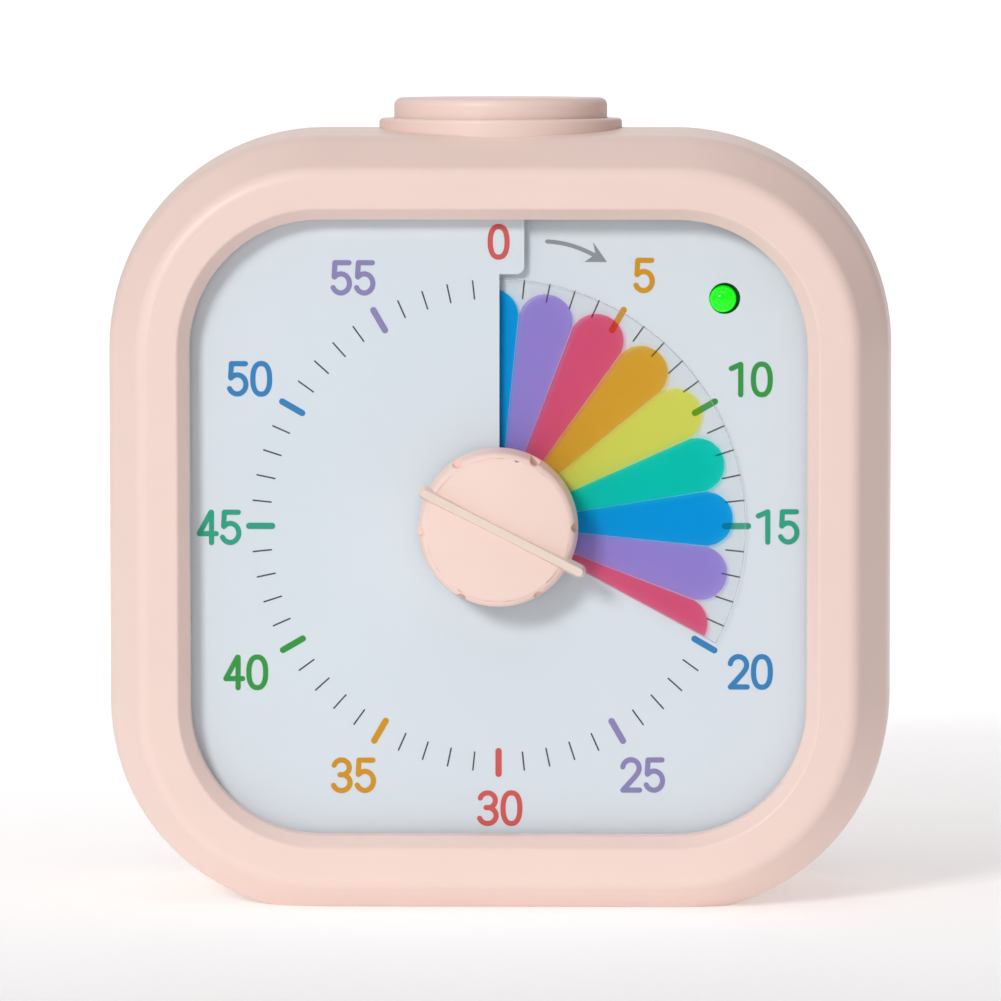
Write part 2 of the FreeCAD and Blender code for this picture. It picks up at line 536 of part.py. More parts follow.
# --------------------------------------------------------------- electronics
# the lamp sits a little off the middle of its window
led_x, led_z = LED_X - 0.18, DIAL_Z + LED_DZ - 0.09
led = revolve_y([(0, 4.3), (LED_R, 4.3, 1.35), (LED_R, 8.3), (1.9, 8.3), (1.9, 9.3), (0, 9.3)], led_x, led_z)
led = led.multiFuse([cyl_y(led_x + s * 1.0, led_z, 0.25, 9.2, 14.4) for s in (1, -1)])
nodes["status_led"] = one(led)
pcb = rbox_y(13.2, 29.5, 12.0, 13.6, 32.0, 72.0, 0.8)
for s in (1, -1):
    pcb = pcb.cut(cyl_y(led_x + s * 1.0, led_z, 0.4, 11, 15))
for x, z in board_at:
    pcb = pcb.cut(cyl_y(x, z, 1.1, 11, 15))
nodes["main_board"] = one(pcb)
nodes["main_chip"] = rbox_y(19.0, 26.6, 13.65, 15.2, 36.6, 44.2, 0.3)
nodes["clock_crystal"] = Part.makeCylinder(1.0, 6.0, V(16.2, Y(14.75), 45.0), V(0, 0, 1))
snd = revolve_y([(1.0, 21.0), (1.0, 19.5), (0, 19.5), (0, 13.65), (6.0, 13.65), (6.0, 21.0, 0.5)], 22.4, 54.5)
nodes["sounder"] = snd
nodes["board_screws"] = Part.makeCompound(
    [screw_y(x, z, 13.6, 9.0, 0.95, 1.8, 1.1) for x, z in board_at])
bs = []
for sx in (1, -1):
    s = cyl_z(sx * 17.0, BTN_D, 1.1, 72.4, 80.0).fuse(cyl_z(sx * 17.0, BTN_D, 2.1, 71.1, 72.4))
    s = s.cut(box(sx * 17 - 1.4, sx * 17 + 1.4, BTN_D - 0.3, BTN_D + 0.3, 70, 71.7))
    bs.append(one(s))
nodes["button_screws"] = Part.makeCompound(bs)

ss = box(SW_X - 5.6, SW_X + 5.6, 30.6, 35.1, SW_Z - 2.3, SW_Z + 2.3)
ss = ss.cut(box(SW_X - 4.7, SW_X + 4.7, 32.9, 36, SW_Z - 1.8, SW_Z + 1.8))
nodes["slide_switch"] = one(ss)
sl = box(SW_X - 2.2, SW_X + 2.2, 33.2, 34.6, SW_Z - 1.5, SW_Z + 1.5)
lug = rbox_y(SW_X - 1.5, SW_X + 1.5, 34.5, 36.95, SW_Z - 1.15, SW_Z + 1.15, 0.3)
for i in range(3):
    x = SW_X - 0.8 + 0.8 * i
    lug = lug.cut(box(x - 0.15, x + 0.15, 36.7, 38, SW_Z - 2, SW_Z + 2))
nodes["volume_slider"] = one(sl.fuse(lug))

# -------------------------------------------------------------------- export
total = None
for name in sorted(nodes):
    s = nodes[name].copy()
    s.translate(V(0, 0, -BASE_Z))
    bb = s.optimalBoundingBox()
    print("%-20s solids %d valid %s vol %9.2f  x %.2f..%.2f y %.2f..%.2f z %.2f..%.2f" % (
        name, len(s.Solids), s.isValid(), s.Volume, bb.XMin, bb.XMax, bb.YMin, bb.YMax, bb.ZMin, bb.ZMax))
    s.exportStep("parts/%s.step" % name)
    total = bb if total is None else total.united(bb)
print("nodes", len(nodes))
print("box x %.3f..%.3f y %.3f..%.3f z %.3f..%.3f" % (total.XMin, total.XMax, total.YMin, total.YMax, total.ZMin, total.ZMax))
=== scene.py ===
import json
import math
import random

import bpy
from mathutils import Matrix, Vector


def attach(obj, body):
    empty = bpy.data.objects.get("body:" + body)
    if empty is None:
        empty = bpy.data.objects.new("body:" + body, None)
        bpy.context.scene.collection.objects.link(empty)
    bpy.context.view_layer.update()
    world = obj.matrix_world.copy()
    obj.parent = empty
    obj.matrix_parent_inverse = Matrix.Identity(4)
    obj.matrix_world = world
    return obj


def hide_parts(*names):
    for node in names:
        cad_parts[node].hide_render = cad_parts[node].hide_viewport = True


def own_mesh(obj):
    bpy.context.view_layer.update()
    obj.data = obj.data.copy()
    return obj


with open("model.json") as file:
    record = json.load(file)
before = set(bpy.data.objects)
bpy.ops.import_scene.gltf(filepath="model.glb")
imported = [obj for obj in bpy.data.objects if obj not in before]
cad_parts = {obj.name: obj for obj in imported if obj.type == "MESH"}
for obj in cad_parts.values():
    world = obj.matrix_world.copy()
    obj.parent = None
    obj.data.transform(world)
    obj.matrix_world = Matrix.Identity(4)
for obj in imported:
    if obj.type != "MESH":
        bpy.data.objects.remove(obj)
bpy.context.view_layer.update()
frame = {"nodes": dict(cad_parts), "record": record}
N = frame["nodes"]
random.seed(7)

# ---------------------------------------------------------------- dimensions (mm, as the CAD)
Y_MID = 17.35
DZ = 43.4
DIAL_D, PITCH, DIAL_T, DISC_T = 5.0, 1.2, 0.3, 0.2
DISC_R, HUB_R, REST = 27.95, 4.3, 118.4
TAB_X, TAB_R = 2.9, 28.5
UNIT = 0.1132                    # mm on the dial for one unit of the print layout
# viewing geometry: the print layout is laid out as seen from here
DIST, ELEV, AZ, F_PX = 0.7106, 4.6, 0.943, 6327.0
AIM_X, AIM_Y = 497.84, 530.3


def mm(x, d, z):
    """Point from x, depth behind the ring plane and height, all in mm, to the row frame in metres."""
    return Vector((x / 1000.0, (d - Y_MID) / 1000.0, z / 1000.0))


_e, _a = math.radians(ELEV), math.radians(AZ)
RING_C = mm(0, 0, 43.3)
BACK = Vector((math.sin(_a) * math.cos(_e), -math.cos(_a) * math.cos(_e), math.sin(_e)))
RIGHT = Vector((math.cos(_a), math.sin(_a), 0))
UP = RIGHT.cross(-BACK)
EYE = RING_C + BACK * DIST


def layout(px, py):
    """Layout units to x, z in mm from the dial's centre, on the dial's mean plane."""
    ray = -BACK + RIGHT * ((px - AIM_X) / F_PX) + UP * ((AIM_Y - py - 0.6) / F_PX)
    t = ((DIAL_D - DIAL_T / 2 - Y_MID) / 1000.0 - EYE.y) / ray.y
    p = EYE + ray * t
    return (p.x * 1000.0, p.z * 1000.0 - DZ)


# ---------------------------------------------------------------- material helpers
def lin(r, g, b):
    def f(c):
        c = c / 255.0
        return c / 12.92 if c <= 0.04045 else ((c + 0.055) / 1.055) ** 2.4
    return (f(r), f(g), f(b), 1.0)


def new_mat(name):
    m = bpy.data.materials.new(name)
    m.use_nodes = True
    nt = m.node_tree
    nt.nodes.clear()
    out = nt.nodes.new("ShaderNodeOutputMaterial")
    return m, nt, out


def node(nt, kind, **values):
    n = nt.nodes.new(kind)
    for k, v in values.items():
        if hasattr(n, k) and not k.startswith("i_"):
            setattr(n, k, v)
    return n


def link(nt, a, b):
    nt.links.new(a, b)


def coords(nt, scale=(1, 1, 1)):
    t = nt.nodes.new("ShaderNodeTexCoord")
    m = nt.nodes.new("ShaderNodeMapping")
    m.inputs["Scale"].default_value = scale
    link(nt, t.outputs["Object"], m.inputs["Vector"])
    return m.outputs["Vector"]


def noise(nt, vec, scale, detail=2.0, rough=0.5):
    n = nt.nodes.new("ShaderNodeTexNoise")
    n.inputs["Scale"].default_value = scale
    n.inputs["Detail"].default_value = detail
    n.inputs["Roughness"].default_value = rough
    link(nt, vec, n.inputs["Vector"])
    return n.outputs["Fac"]


def ramp(nt, fac, stops):
    r = nt.nodes.new("ShaderNodeValToRGB")
    el = r.color_ramp.elements
    el[0].position, el[0].color = stops[0]
    el[1].position, el[1].color = stops[-1]
    for p, c in stops[1:-1]:
        e = el.new(p)
        e.color = c
    link(nt, fac, r.inputs["Fac"])
    return r.outputs["Color"]


def maprange(nt, fac, lo, hi, a=0.0, b=1.0):
    n = nt.nodes.new("ShaderNodeMapRange")
    n.inputs["From Min"].default_value = a
    n.inputs["From Max"].default_value = b
    n.inputs["To Min"].default_value = lo
    n.inputs["To Max"].default_value = hi
    link(nt, fac, n.inputs["Value"])
    return n.outputs["Result"]


def scaled(c, k):
    return (min(1, c[0] * k), min(1, c[1] * k), min(1, c[2] * k), 1.0)


def plastic(name, col, rough=0.45, spread=0.03, grain=9000.0, bump=0.05, blotch=120.0, spec=0.45, sss=0.0,
            rough_spread=0.06, bump_dist=0.00003):
    """Moulded plastic: slow tint drift, fine spark-eroded grain in the bump and in the roughness."""
    m, nt, out = new_mat(name)
    p = nt.nodes.new("ShaderNodeBsdfPrincipled")
    v = coords(nt)
    slow = noise(nt, v, blotch, 3.0)
    fine = noise(nt, v, grain, 2.0, 0.6)
    c = ramp(nt, slow, [(0.3, scaled(col, 1 - spread)), (0.7, scaled(col, 1 + spread))])
    link(nt, c, p.inputs["Base Color"])
    link(nt, maprange(nt, fine, rough - rough_spread, rough + rough_spread, 0.3, 0.7), p.inputs["Roughness"])
    p.inputs["Specular IOR Level"].default_value = spec
    if sss > 0:
        p.inputs["Subsurface Weight"].default_value = sss
        p.inputs["Subsurface Radius"].default_value = (0.0012, 0.0006, 0.0004)
        p.inputs["Subsurface Scale"].default_value = 1.0
    b = nt.nodes.new("ShaderNodeBump")
    b.inputs["Strength"].default_value = bump
    b.inputs["Distance"].default_value = bump_dist
    link(nt, fine, b.inputs["Height"])
    link(nt, b.outputs["Normal"], p.inputs["Normal"])
    link(nt, p.outputs["BSDF"], out.inputs["Surface"])
    return m


def metal(name, col, rough=0.3, stretch=(1, 1, 1), scale=3000.0, spread=0.08):
    """Drawn or turned metal, with fine lines in the roughness and bump, and a slow drift in colour."""
    m, nt, out = new_mat(name)
    p = nt.nodes.new("ShaderNodeBsdfPrincipled")
    p.inputs["Metallic"].default_value = 1.0
    v = coords(nt, stretch)
    f = noise(nt, v, scale, 3.0)
    slow = noise(nt, coords(nt), 300.0, 3.0)
    link(nt, ramp(nt, slow, [(0.3, scaled(col, 1 - spread)), (0.7, scaled(col, 1 + spread))]), p.inputs["Base Color"])
    link(nt, maprange(nt, f, rough - 0.1, rough + 0.12, 0.3, 0.7), p.inputs["Roughness"])
    b = nt.nodes.new("ShaderNodeBump")
    b.inputs["Strength"].default_value = 0.15
    b.inputs["Distance"].default_value = 0.00002
    link(nt, f, b.inputs["Height"])
    link(nt, b.outputs["Normal"], p.inputs["Normal"])
    link(nt, p.outputs["BSDF"], out.inputs["Surface"])
    return m


def paint(obj, mat):
    if len(obj.material_slots) == 0:
        obj.data.materials.append(mat)
    for s in obj.material_slots:
        s.material = mat


# ---------------------------------------------------------------- colours
PINK = lin(240, 214, 204)
PINK_KNOB = lin(244, 216, 205)
DIAL = lin(215, 225, 232)
INK = {
    "red": lin(206, 88, 84), "amber": lin(206, 146, 22), "green": lin(46, 150, 62),
    "teal": lin(40, 160, 128), "blue": lin(48, 128, 186), "purple": lin(138, 131, 180),
    "grey": lin(140, 146, 152), "tick": lin(70, 74, 80),
}
PETAL = {
    "blue": (0.004, 0.43, 1.0, 1), "purple": (0.45, 0.32, 0.88, 1), "pink": (1.0, 0.115, 0.235, 1),
    "orange": (1.0, 0.48, 0.040, 1), "yellow": (0.97, 0.93, 0.13, 1), "teal": (0.004, 0.78, 0.60, 1),
}

M = {}
M["pink"] = plastic("pink_moulded", PINK, 0.40, 0.012, 7000, 0.08, 60, 0.42)
M["pink_knob"] = plastic("pink_knob_moulded", PINK_KNOB, 0.52, 0.012, 8000, 0.08, 90, 0.35)
M["dial"] = plastic("dial_sheet_print", DIAL, 0.55, 0.010, 12000, 0.04, 45, 0.3)
M["white"] = plastic("white_moulded", lin(236, 236, 232), 0.48, 0.02, 7000, 0.08)
M["natural"] = plastic("natural_acetal", lin(226, 222, 208), 0.35, 0.02, 7000, 0.05)
M["dark"] = plastic("dark_moulded", lin(36, 36, 38), 0.5, 0.08, 7000, 0.12)
M["steel"] = metal("zinc_steel", lin(196, 198, 202), 0.32)
M["spring"] = metal("nickel_spring", lin(205, 200, 190), 0.25)
M["brass"] = metal("turned_brass", lin(212, 176, 100), 0.28, (1, 20, 1))
M["magnet"] = plastic("ferrite", lin(52, 52, 56), 0.4, 0.1, 5000, 0.15)
M["copper"] = metal("enamelled_copper", lin(196, 104, 60), 0.3, (40, 1, 1), 800.0)
M["board"] = plastic("solder_mask", lin(20, 96, 56), 0.3, 0.1, 4000, 0.05, 500)
M["cell"] = plastic("cell_sleeve", lin(58, 66, 84), 0.25, 0.05, 4000, 0.03)

BY_SLOT = {
    "pink_plastic": "pink", "pink_knob": "pink_knob", "dial_print": "dial", "white_plastic": "white",
    "natural_plastic": "natural", "dark_plastic": "dark", "steel": "steel", "spring_steel": "spring",
    "brass": "brass", "magnet": "magnet", "copper_wire": "copper", "circuit_green": "board", "cell_wrap": "cell",
}


# ---------------------------------------------------------------- film, petals and lamp
def film_material(name, tint, alpha, rough=0.12):
    m, nt, out = new_mat(name)
    p = nt.nodes.new("ShaderNodeBsdfPrincipled")
    v = coords(nt)
    c = ramp(nt, noise(nt, v, 90.0, 2.0), [(0.3, scaled(tint, 0.98)), (0.7, scaled(tint, 1.02))])
    link(nt, c, p.inputs["Base Color"])
    link(nt, maprange(nt, noise(nt, v, 500.0, 3.0), rough - 0.04, rough + 0.06), p.inputs["Roughness"])
    p.inputs["Alpha"].default_value = alpha
    p.inputs["Specular IOR Level"].default_value = 0.3
    link(nt, p.outputs["BSDF"], out.inputs["Surface"])
    return m


def ink_film(name, col, share=0.16):
    """Translucent print on clear film: lets the dial's marks show dark through the colour."""
    m, nt, out = new_mat(name)
    p = nt.nodes.new("ShaderNodeBsdfPrincipled")
    v = coords(nt)
    slow = noise(nt, v, 160.0, 3.0)
    fine = noise(nt, v, 5200.0, 2.0, 0.7)
    c = ramp(nt, slow, [(0.3, scaled(col, 0.97)), (0.7, scaled(col, 1.03))])
    link(nt, c, p.inputs["Base Color"])
    link(nt, maprange(nt, fine, 0.45, 0.6, 0.3, 0.7), p.inputs["Roughness"])
    p.inputs["Specular IOR Level"].default_value = 0.1
    t = nt.nodes.new("ShaderNodeBsdfTransparent")
    root = (col[0] ** 0.5, col[1] ** 0.5, col[2] ** 0.5, 1.0)
    t.inputs["Color"].default_value = root
    mix = nt.nodes.new("ShaderNodeMixShader")
    mix.inputs["Fac"].default_value = share
    link(nt, t.outputs["BSDF"], mix.inputs[1])
    link(nt, p.outputs["BSDF"], mix.inputs[2])
    link(nt, mix.outputs["Shader"], out.inputs["Surface"])
    return m


def lamp_material(name):
    m, nt, out = new_mat(name)
    p = nt.nodes.new("ShaderNodeBsdfPrincipled")
    v = coords(nt)
    c = ramp(nt, noise(nt, v, 900.0, 2.0), [(0.3, (0.0, 0.42, 0.0, 1)), (0.7, (0.0, 0.52, 0.0, 1))])
    link(nt, c, p.inputs["Base Color"])
    p.inputs["Roughness"].default_value = 0.10
    p.inputs["Specular IOR Level"].default_value = 0.55
    p.inputs["Emission Color"].default_value = (0.0, 1.0, 0.0, 1)
    p.inputs["Emission Strength"].default_value = 0.62
    link(nt, p.outputs["BSDF"], out.inputs["Surface"])
    return m


def cell_material(name):
    """Printed sleeve with a pale band at the plus end and bare steel at both ends; the two cells lie head to tail."""
    m, nt, out = new_mat(name)
    p = nt.nodes.new("ShaderNodeBsdfPrincipled")
    v = coords(nt)
    sep = nt.nodes.new("ShaderNodeSeparateXYZ")
    link(nt, v, sep.inputs["Vector"])
    turn = maprange(nt, sep.outputs["Z"], -1.0, 1.0, 0.0211, 0.0215)
    along = nt.nodes.new("ShaderNodeMath")
    along.operation = "MULTIPLY"
    link(nt, sep.outputs["X"], along.inputs[0])
    link(nt, turn, along.inputs[1])
    t = maprange(nt, along.outputs[0], 0.0, 1.0, -0.022, 0.022)
    steel, sleeve, line, band = lin(188, 190, 194), lin(92, 122, 128), lin(120, 150, 156), lin(214, 216, 216)
    look = nt.nodes.new("ShaderNodeValToRGB")
    bare = nt.nodes.new("ShaderNodeValToRGB")
    for r, stops in ((look, [(0.0, steel), (0.022, sleeve), (0.70, line), (0.712, band), (0.985, steel)]),
                     (bare, [(0.0, (1, 1, 1, 1)), (0.022, (0.0, 0.0, 0.0, 1)), (0.712, (0.0, 0.0, 0.0, 1)),
                             (0.985, (1, 1, 1, 1))])):
        r.color_ramp.interpolation = "CONSTANT"
        el = r.color_ramp.elements
        el[0].position, el[0].color = stops[0]
        el[1].position, el[1].color = stops[-1]
        for q, c in stops[1:-1]:
            el.new(q).color = c
        link(nt, t, r.inputs["Fac"])
    link(nt, look.outputs["Color"], p.inputs["Base Color"])
    link(nt, bare.outputs["Color"], p.inputs["Metallic"])
    fine = noise(nt, coords(nt, (40, 1, 1)), 900.0, 3.0)
    link(nt, maprange(nt, fine, 0.20, 0.34, 0.3, 0.7), p.inputs["Roughness"])
    b = nt.nodes.new("ShaderNodeBump")
    b.inputs["Strength"].default_value = 0.05
    b.inputs["Distance"].default_value = 0.00002
    link(nt, noise(nt, v, 1500.0, 2.0), b.inputs["Height"])
    link(nt, b.outputs["Normal"], p.inputs["Normal"])
    link(nt, p.outputs["BSDF"], out.inputs["Surface"])
    return m


M["film"] = film_material("clear_film", lin(180, 190, 186), 0.035, 0.25)
# grey of the film's edge lines: painted shade standing in for the clear cut edge and its shadow
M["film_edge"] = film_material("film_edge", lin(172, 177, 183), 0.5)
M["lamp"] = lamp_material("green_lens")
M["pointer"] = plastic("pointer_moulded", lin(236, 216, 203), 0.45, 0.012, 8000, 0.06, 90, 0.4)
# dark colour of the ring behind the lamp: painted shade seen in the gap between lens and hole
M["gasket"] = plastic("lamp_gasket", lin(12, 54, 30), 0.6, 0.1, 9000, 0.1, 300, 0.3)
for k, c in PETAL.items():
    M["petal_" + k] = ink_film("petal_ink_" + k, c, 0.05 if k in ("pink", "orange", "yellow") else 0.16)
for k, c in INK.items():
    M["ink_" + k] = plastic("dial_ink_" + k, c, 0.5, 0.02, 12000, 0.04, 400, 0.3)

slots = {s["node"]: s["material_slot"] for s in frame["record"]["subparts"]} if isinstance(
    frame["record"].get("subparts"), list) else {}
for name, o in N.items():
    s = slots.get(name)
    if s in BY_SLOT:
        paint(o, M[BY_SLOT[s]])
paint(N["status_led"], M["lamp"])
paint(N["batteries"], cell_material("cell_print"))
paint(N["time_disc"], M["film"])
paint(N["pointer_bar"], M["pointer"])


# ---------------------------------------------------------------- mesh helpers
def mesh_obj(name, verts, faces, mat, body, smooth=False):
    me = bpy.data.meshes.new(name)
    me.from_pydata([tuple(v) for v in verts], [], faces)
    me.validate()
    me.update()
    o = bpy.data.objects.new(name, me)
    bpy.context.scene.collection.objects.link(o)
    me.materials.append(mat)
    if smooth:
        for p in me.polygons:
            p.use_smooth = True
    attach(o, body)
    return o


def dial_h(x, z, upper=False):
    """Height of the dial's mid surface in front of its mean plane; x, z from the dial's centre in mm."""
    a = math.degrees(math.atan2(x, z)) % 360.0
    if upper and a < 30:
        a += 360.0
    return -PITCH / 2 + PITCH * a / 360.0


def on_dial(x, z, lift, upper=False):
    return mm(x, DIAL_D - dial_h(x, z, upper) - DIAL_T / 2 - lift, DZ + z)


def offset_outline(pts, half, closed=False):
    """Left and right offset lines of a polyline in 2D."""
    n = len(pts)
    left, right = [], []
    for i in range(n):
        if closed:
            a, b = pts[(i - 1) % n], pts[(i + 1) % n]
        else:
            a, b = pts[max(0, i - 1)], pts[min(n - 1, i + 1)]
        dx, dz = b[0] - a[0], b[1] - a[1]
        l = math.hypot(dx, dz) or 1e-9
        nx, nz = -dz / l, dx / l
        x, z = pts[i]
        left.append((x + nx * half, z + nz * half))
        right.append((x - nx * half, z - nz * half))
    return left, right


def stroke(pts, half, lift, place, closed=False, caps=8):
    """Flat raised ribbon with round ends along a 2D line: (verts, faces)."""
    left, right = offset_outline(pts, half, closed)
    if closed:
        n = len(pts)
        top = [place(x, z, lift) for x, z in left] + [place(x, z, lift) for x, z in right]
        low = [place(x, z, -0.01) for x, z in left] + [place(x, z, -0.01) for x, z in right]
        verts = top + low
        faces = []
        for i in range(n):
            j = (i + 1) % n
            faces.append((i, j, n + j, n + i))
            faces.append((2 * n + i, i, j, 2 * n + j)[::-1])
            faces.append((3 * n + i, n + i, n + j, 3 * n + j))
            faces.append((2 * n + i, 2 * n + j, 3 * n + j, 3 * n + i)[::-1])
        return verts, faces
    # round caps
    outline = list(left)
    ex, ez = pts[-1]
    dx, dz = pts[-1][0] - pts[-2][0], pts[-1][1] - pts[-2][1]
    a0 = math.atan2(dz, dx) + math.pi / 2
    for i in range(1, caps):
        a = a0 - math.pi * i / caps
        outline.append((ex + half * math.cos(a), ez + half * math.sin(a)))
    outline += right[::-1]
    sx, sz = pts[0]
    dx, dz = pts[0][0] - pts[1][0], pts[0][1] - pts[1][1]
    a0 = math.atan2(dz, dx) + math.pi / 2
    for i in range(1, caps):
        a = a0 - math.pi * i / caps
        outline.append((sx + half * math.cos(a), sz + half * math.sin(a)))
    # strip faces need matching pairs, so the body is a strip and the caps are fans
    verts = []
    faces = []
    n = len(pts)
    for x, z in left + right:
        verts.append(place(x, z, lift))
    for i in range(n - 1):
        faces.append((i, i + 1, n + i + 1, n + i))
    cap_e = outline[n:n + caps - 1]
    k = len(verts)
    verts += [place(x, z, lift) for x, z in cap_e]
    faces.append([n - 1] + list(range(k, k + len(cap_e))) + [2 * n - 1])
    cap_s = outline[-(caps - 1):]
    k2 = len(verts)
    verts += [place(x, z, lift) for x, z in cap_s]
    faces.append([n] + list(range(k2, k2 + len(cap_s))) + [0])
    # rim wall down to the sheet
    ring = list(range(0, n)) + list(range(k, k + len(cap_e))) + list(range(2 * n - 1, n - 1, -1)) + list(
        range(k2, k2 + len(cap_s)))
    flat = left + right + cap_e + cap_s
    base = len(verts)
    verts += [place(*flat[i], -0.01) for i in range(len(flat))]
    for i in range(len(ring)):
        a, b = ring[i], ring[(i + 1) % len(ring)]
        faces.append((a, base + a, base + b, b))
    faces.append([base + r for r in ring[::-1]])
    return verts, faces


def join(parts):
    verts, faces = [], []
    for v, f in parts:
        k = len(verts)
        verts += v
        faces += [[k + i for i in q] for q in f]
    return verts, faces


# ---------------------------------------------------------------- numerals
def arc(cx, cy, rx, ry, a0, a1, n=18):
    return [(cx + rx * math.cos(math.radians(a0 + (a1 - a0) * i / n)),
             cy + ry * math.sin(math.radians(a0 + (a1 - a0) * i / n))) for i in range(n + 1)]


def seg(a, b, n=4):
    return [(a[0] + (b[0] - a[0]) * i / n, a[1] + (b[1] - a[1]) * i / n) for i in range(n + 1)]


def superoval(cx, cy, rx, ry, p=2.35, n=48):
    out = []
    for i in range(n):
        a = 2 * math.pi * i / n
        c, s = math.cos(a), math.sin(a)
        out.append((cx + rx * math.copysign(abs(c) ** (2 / p), c), cy + ry * math.copysign(abs(s) ** (2 / p), s)))
    return out


# strokes in picture units, from the lower left of the stroke centre box, 16.8 wide and 30.6 high
GLYPH = {
    "0": [(superoval(8.6, 15.3, 8.4, 15.3), True)],
    "1": [(seg((3.0, 26.2), (12.4, 30.4)), False), (seg((12.4, 30.4), (12.4, 0), 6), False)],
    "2": [(arc(8.5, 22.3, 8.2, 8.3, 172, -20) + [(14.9, 16.8), (12.2, 13.2), (8.0, 8.6), (4.0, 4.2), (0.4, 0.3)], False),
          (seg((0.4, 0.3), (17.2, 0.3)), False)],
    "3": [(arc(8.2, 23.1, 7.7, 7.5, 162, -70), False), (seg((6.6, 15.9), (10.6, 15.9)), False),
          (arc(8.2, 8.0, 8.5, 8.0, 74, -160), False)],
    "4": [(seg((12.2, 30.4), (0.6, 9.0), 6), False), (seg((0.6, 9.0), (17.4, 9.0), 6), False),
          (seg((12.8, 30.4), (12.8, 0), 6), False)],
    "5": [(seg((16.2, 30.4), (2.2, 30.4)), False), (seg((2.2, 30.4), (1.4, 16.6)), False),
          (arc(8.1, 9.7, 8.6, 9.6, 138, -154), False)],
}
NUMBERS = [("0", 498.5, 241.0, "red"), ("5", 644.0, 275.0, "amber"), ("10", 750.0, 379.0, "green"),
           ("15", 777.0, 526.5, "teal"), ("20", 750.0, 671.5, "blue"), ("25", 642.5, 774.5, "purple"),
           ("30", 499.5, 807.5, "red"), ("35", 353.5, 774.5, "amber"), ("40", 245.5, 671.5, "green"),
           ("45", 219.0, 526.5, "teal"), ("50", 249.5, 378.0, "blue"), ("55", 353.0, 277.0, "purple")]
STROKE = 2.6
LIFT = 0.035
for text, cx, cy, col in NUMBERS:
    adv = 23.4
    parts = []
    for i, ch in enumerate(text):
        left = cx - adv * len(text) / 2.0 + adv * i + (adv - 16.8) / 2.0
        if ch == "1":
            left -= 1.5
        for k, (line, closed) in enumerate(GLYPH[ch]):
            pts = [layout(left + px, cy + 15.3 - py) for px, py in line]
            up = text == "0"
            parts.append(stroke(pts, STROKE * UNIT, LIFT + 0.002 * k,
                                lambda x, z, l, up=up: on_dial(x, z, l, up), closed))
    v, f = join(parts)
    mesh_obj("numeral_%02d" % int(text), v, f, M["ink_" + col], "root")


# ---------------------------------------------------------------- minute marks
def radial(deg, r0, r1, half, lift, n=3):
    a = math.radians(deg)
    pts = [((r0 + (r1 - r0) * i / n) * math.sin(a), (r0 + (r1 - r0) * i / n) * math.cos(a)) for i in range(n + 1)]
    return stroke(pts, half, lift, on_dial)


parts = []
for m in range(60):
    if m % 5:
        parts.append(radial(6 * m, 25.85, 27.9, 0.085, 0.02))
v, f = join(parts)
mesh_obj("minute_ticks", v, f, M["ink_tick"], "root")
MARK = {5: "amber", 10: "green", 15: "teal", 20: "blue", 25: "purple", 30: "red", 35: "amber", 40: "green",
        45: "teal", 50: "blue", 55: "purple"}
for m, col in MARK.items():
    v, f = radial(6 * m, 25.6, 28.2, 0.36, 0.03)
    mesh_obj("mark_%02d" % m, v, f, M["ink_" + col], "root")

# ---------------------------------------------------------------- direction arrow
shaft = [(547.0, 241.0), (553, 241.4), (559, 242.2), (566, 243.6), (573, 245.5), (580, 248.0), (587, 251.0), (595, 255.0)]
pts = [layout(x, z) for x, z in shaft]
a = stroke(pts, 2.1 * UNIT, 0.03, on_dial, caps=3)
head = [(607.0, 261.5), (593.0, 241.5), (595.5, 253.5), (584.5, 261.5)]
hp = [layout(x, z) for x, z in head]
hv = [on_dial(x, z, 0.032) for x, z in hp] + [on_dial(x, z, -0.01) for x, z in hp]
hf = [(0, 1, 2, 3)] + [(i, (i + 1) % 4, 4 + (i + 1) % 4, 4 + i) for i in range(4)] + [(7, 6, 5, 4)]
v, f = join([a, (hv, hf)])
mesh_obj("direction_arrow", v, f, M["ink_grey"], "root")


# ---------------------------------------------------------------- film disc print
def disc_h(deg):
    """Height of the film's mid surface; deg runs from REST - 360 to REST."""
    return PITCH * deg / 360.0


def on_film(r, deg, lift):
    a = math.radians(deg)
    return mm(r * math.sin(a), DIAL_D - disc_h(deg) - DISC_T / 2 - lift, DZ + r * math.cos(a))


TIP_R, HALF_DEG, GAP = 26.65, 7.5, 0.12
OFF_X, OFF_Z = -0.18, 0.20       # the print stands a little off the disc's axis
RC = TIP_R / (1 + math.sin(math.radians(HALF_DEG)))
RHO = RC * math.sin(math.radians(HALF_DEG))
CYCLE = ["pink", "purple", "blue", "teal", "yellow", "orange"]


def petal(centre, lo, hi):
    """Polar patch of one petal between the angles lo and hi, measured from its centre line."""
    cols, rows = 22, 26
    verts, faces = [], []
    for i in range(cols + 1):
        t = lo + (hi - lo) * i / cols
        ta = math.radians(abs(t))
        s = RC * math.sin(ta)
        rmax = RC * math.cos(ta) + math.sqrt(max(0.0, RHO * RHO - s * s))
        for j in range(rows + 1):
            u = j / rows
            r = 5.0 + (rmax - 5.0) * (1 - (1 - u) ** 1.6)
            a = math.radians(centre + t)
            x, z = r * math.sin(a) + OFF_X, r * math.cos(a) + OFF_Z
            d = math.degrees(math.atan2(x, z))
            d += 360.0 * round((centre + t - d) / 360.0)
            verts.append(on_film(math.hypot(x, z), min(max(d, REST - 359.98), REST - 0.04), 0.012))
    for i in range(cols):
        for j in range(rows):
            a = i * (rows + 1) + j
            faces.append((a, a + 1, a + rows + 2, a + rows + 1))
    return verts, faces


groups = {k: [] for k in PETAL}
for i in range(25):
    centre = REST - 15.0 * i
    lo, hi = -HALF_DEG + GAP, HALF_DEG - GAP
    if i == 0:
        hi = -0.02
    if i == 24:
        lo = 0.02
    groups[CYCLE[i % 6]].append(petal(centre, lo, hi))
for k, parts in groups.items():
    v, f = join(parts)
    mesh_obj("petals_" + k, v, f, M["petal_" + k], "disc", True)


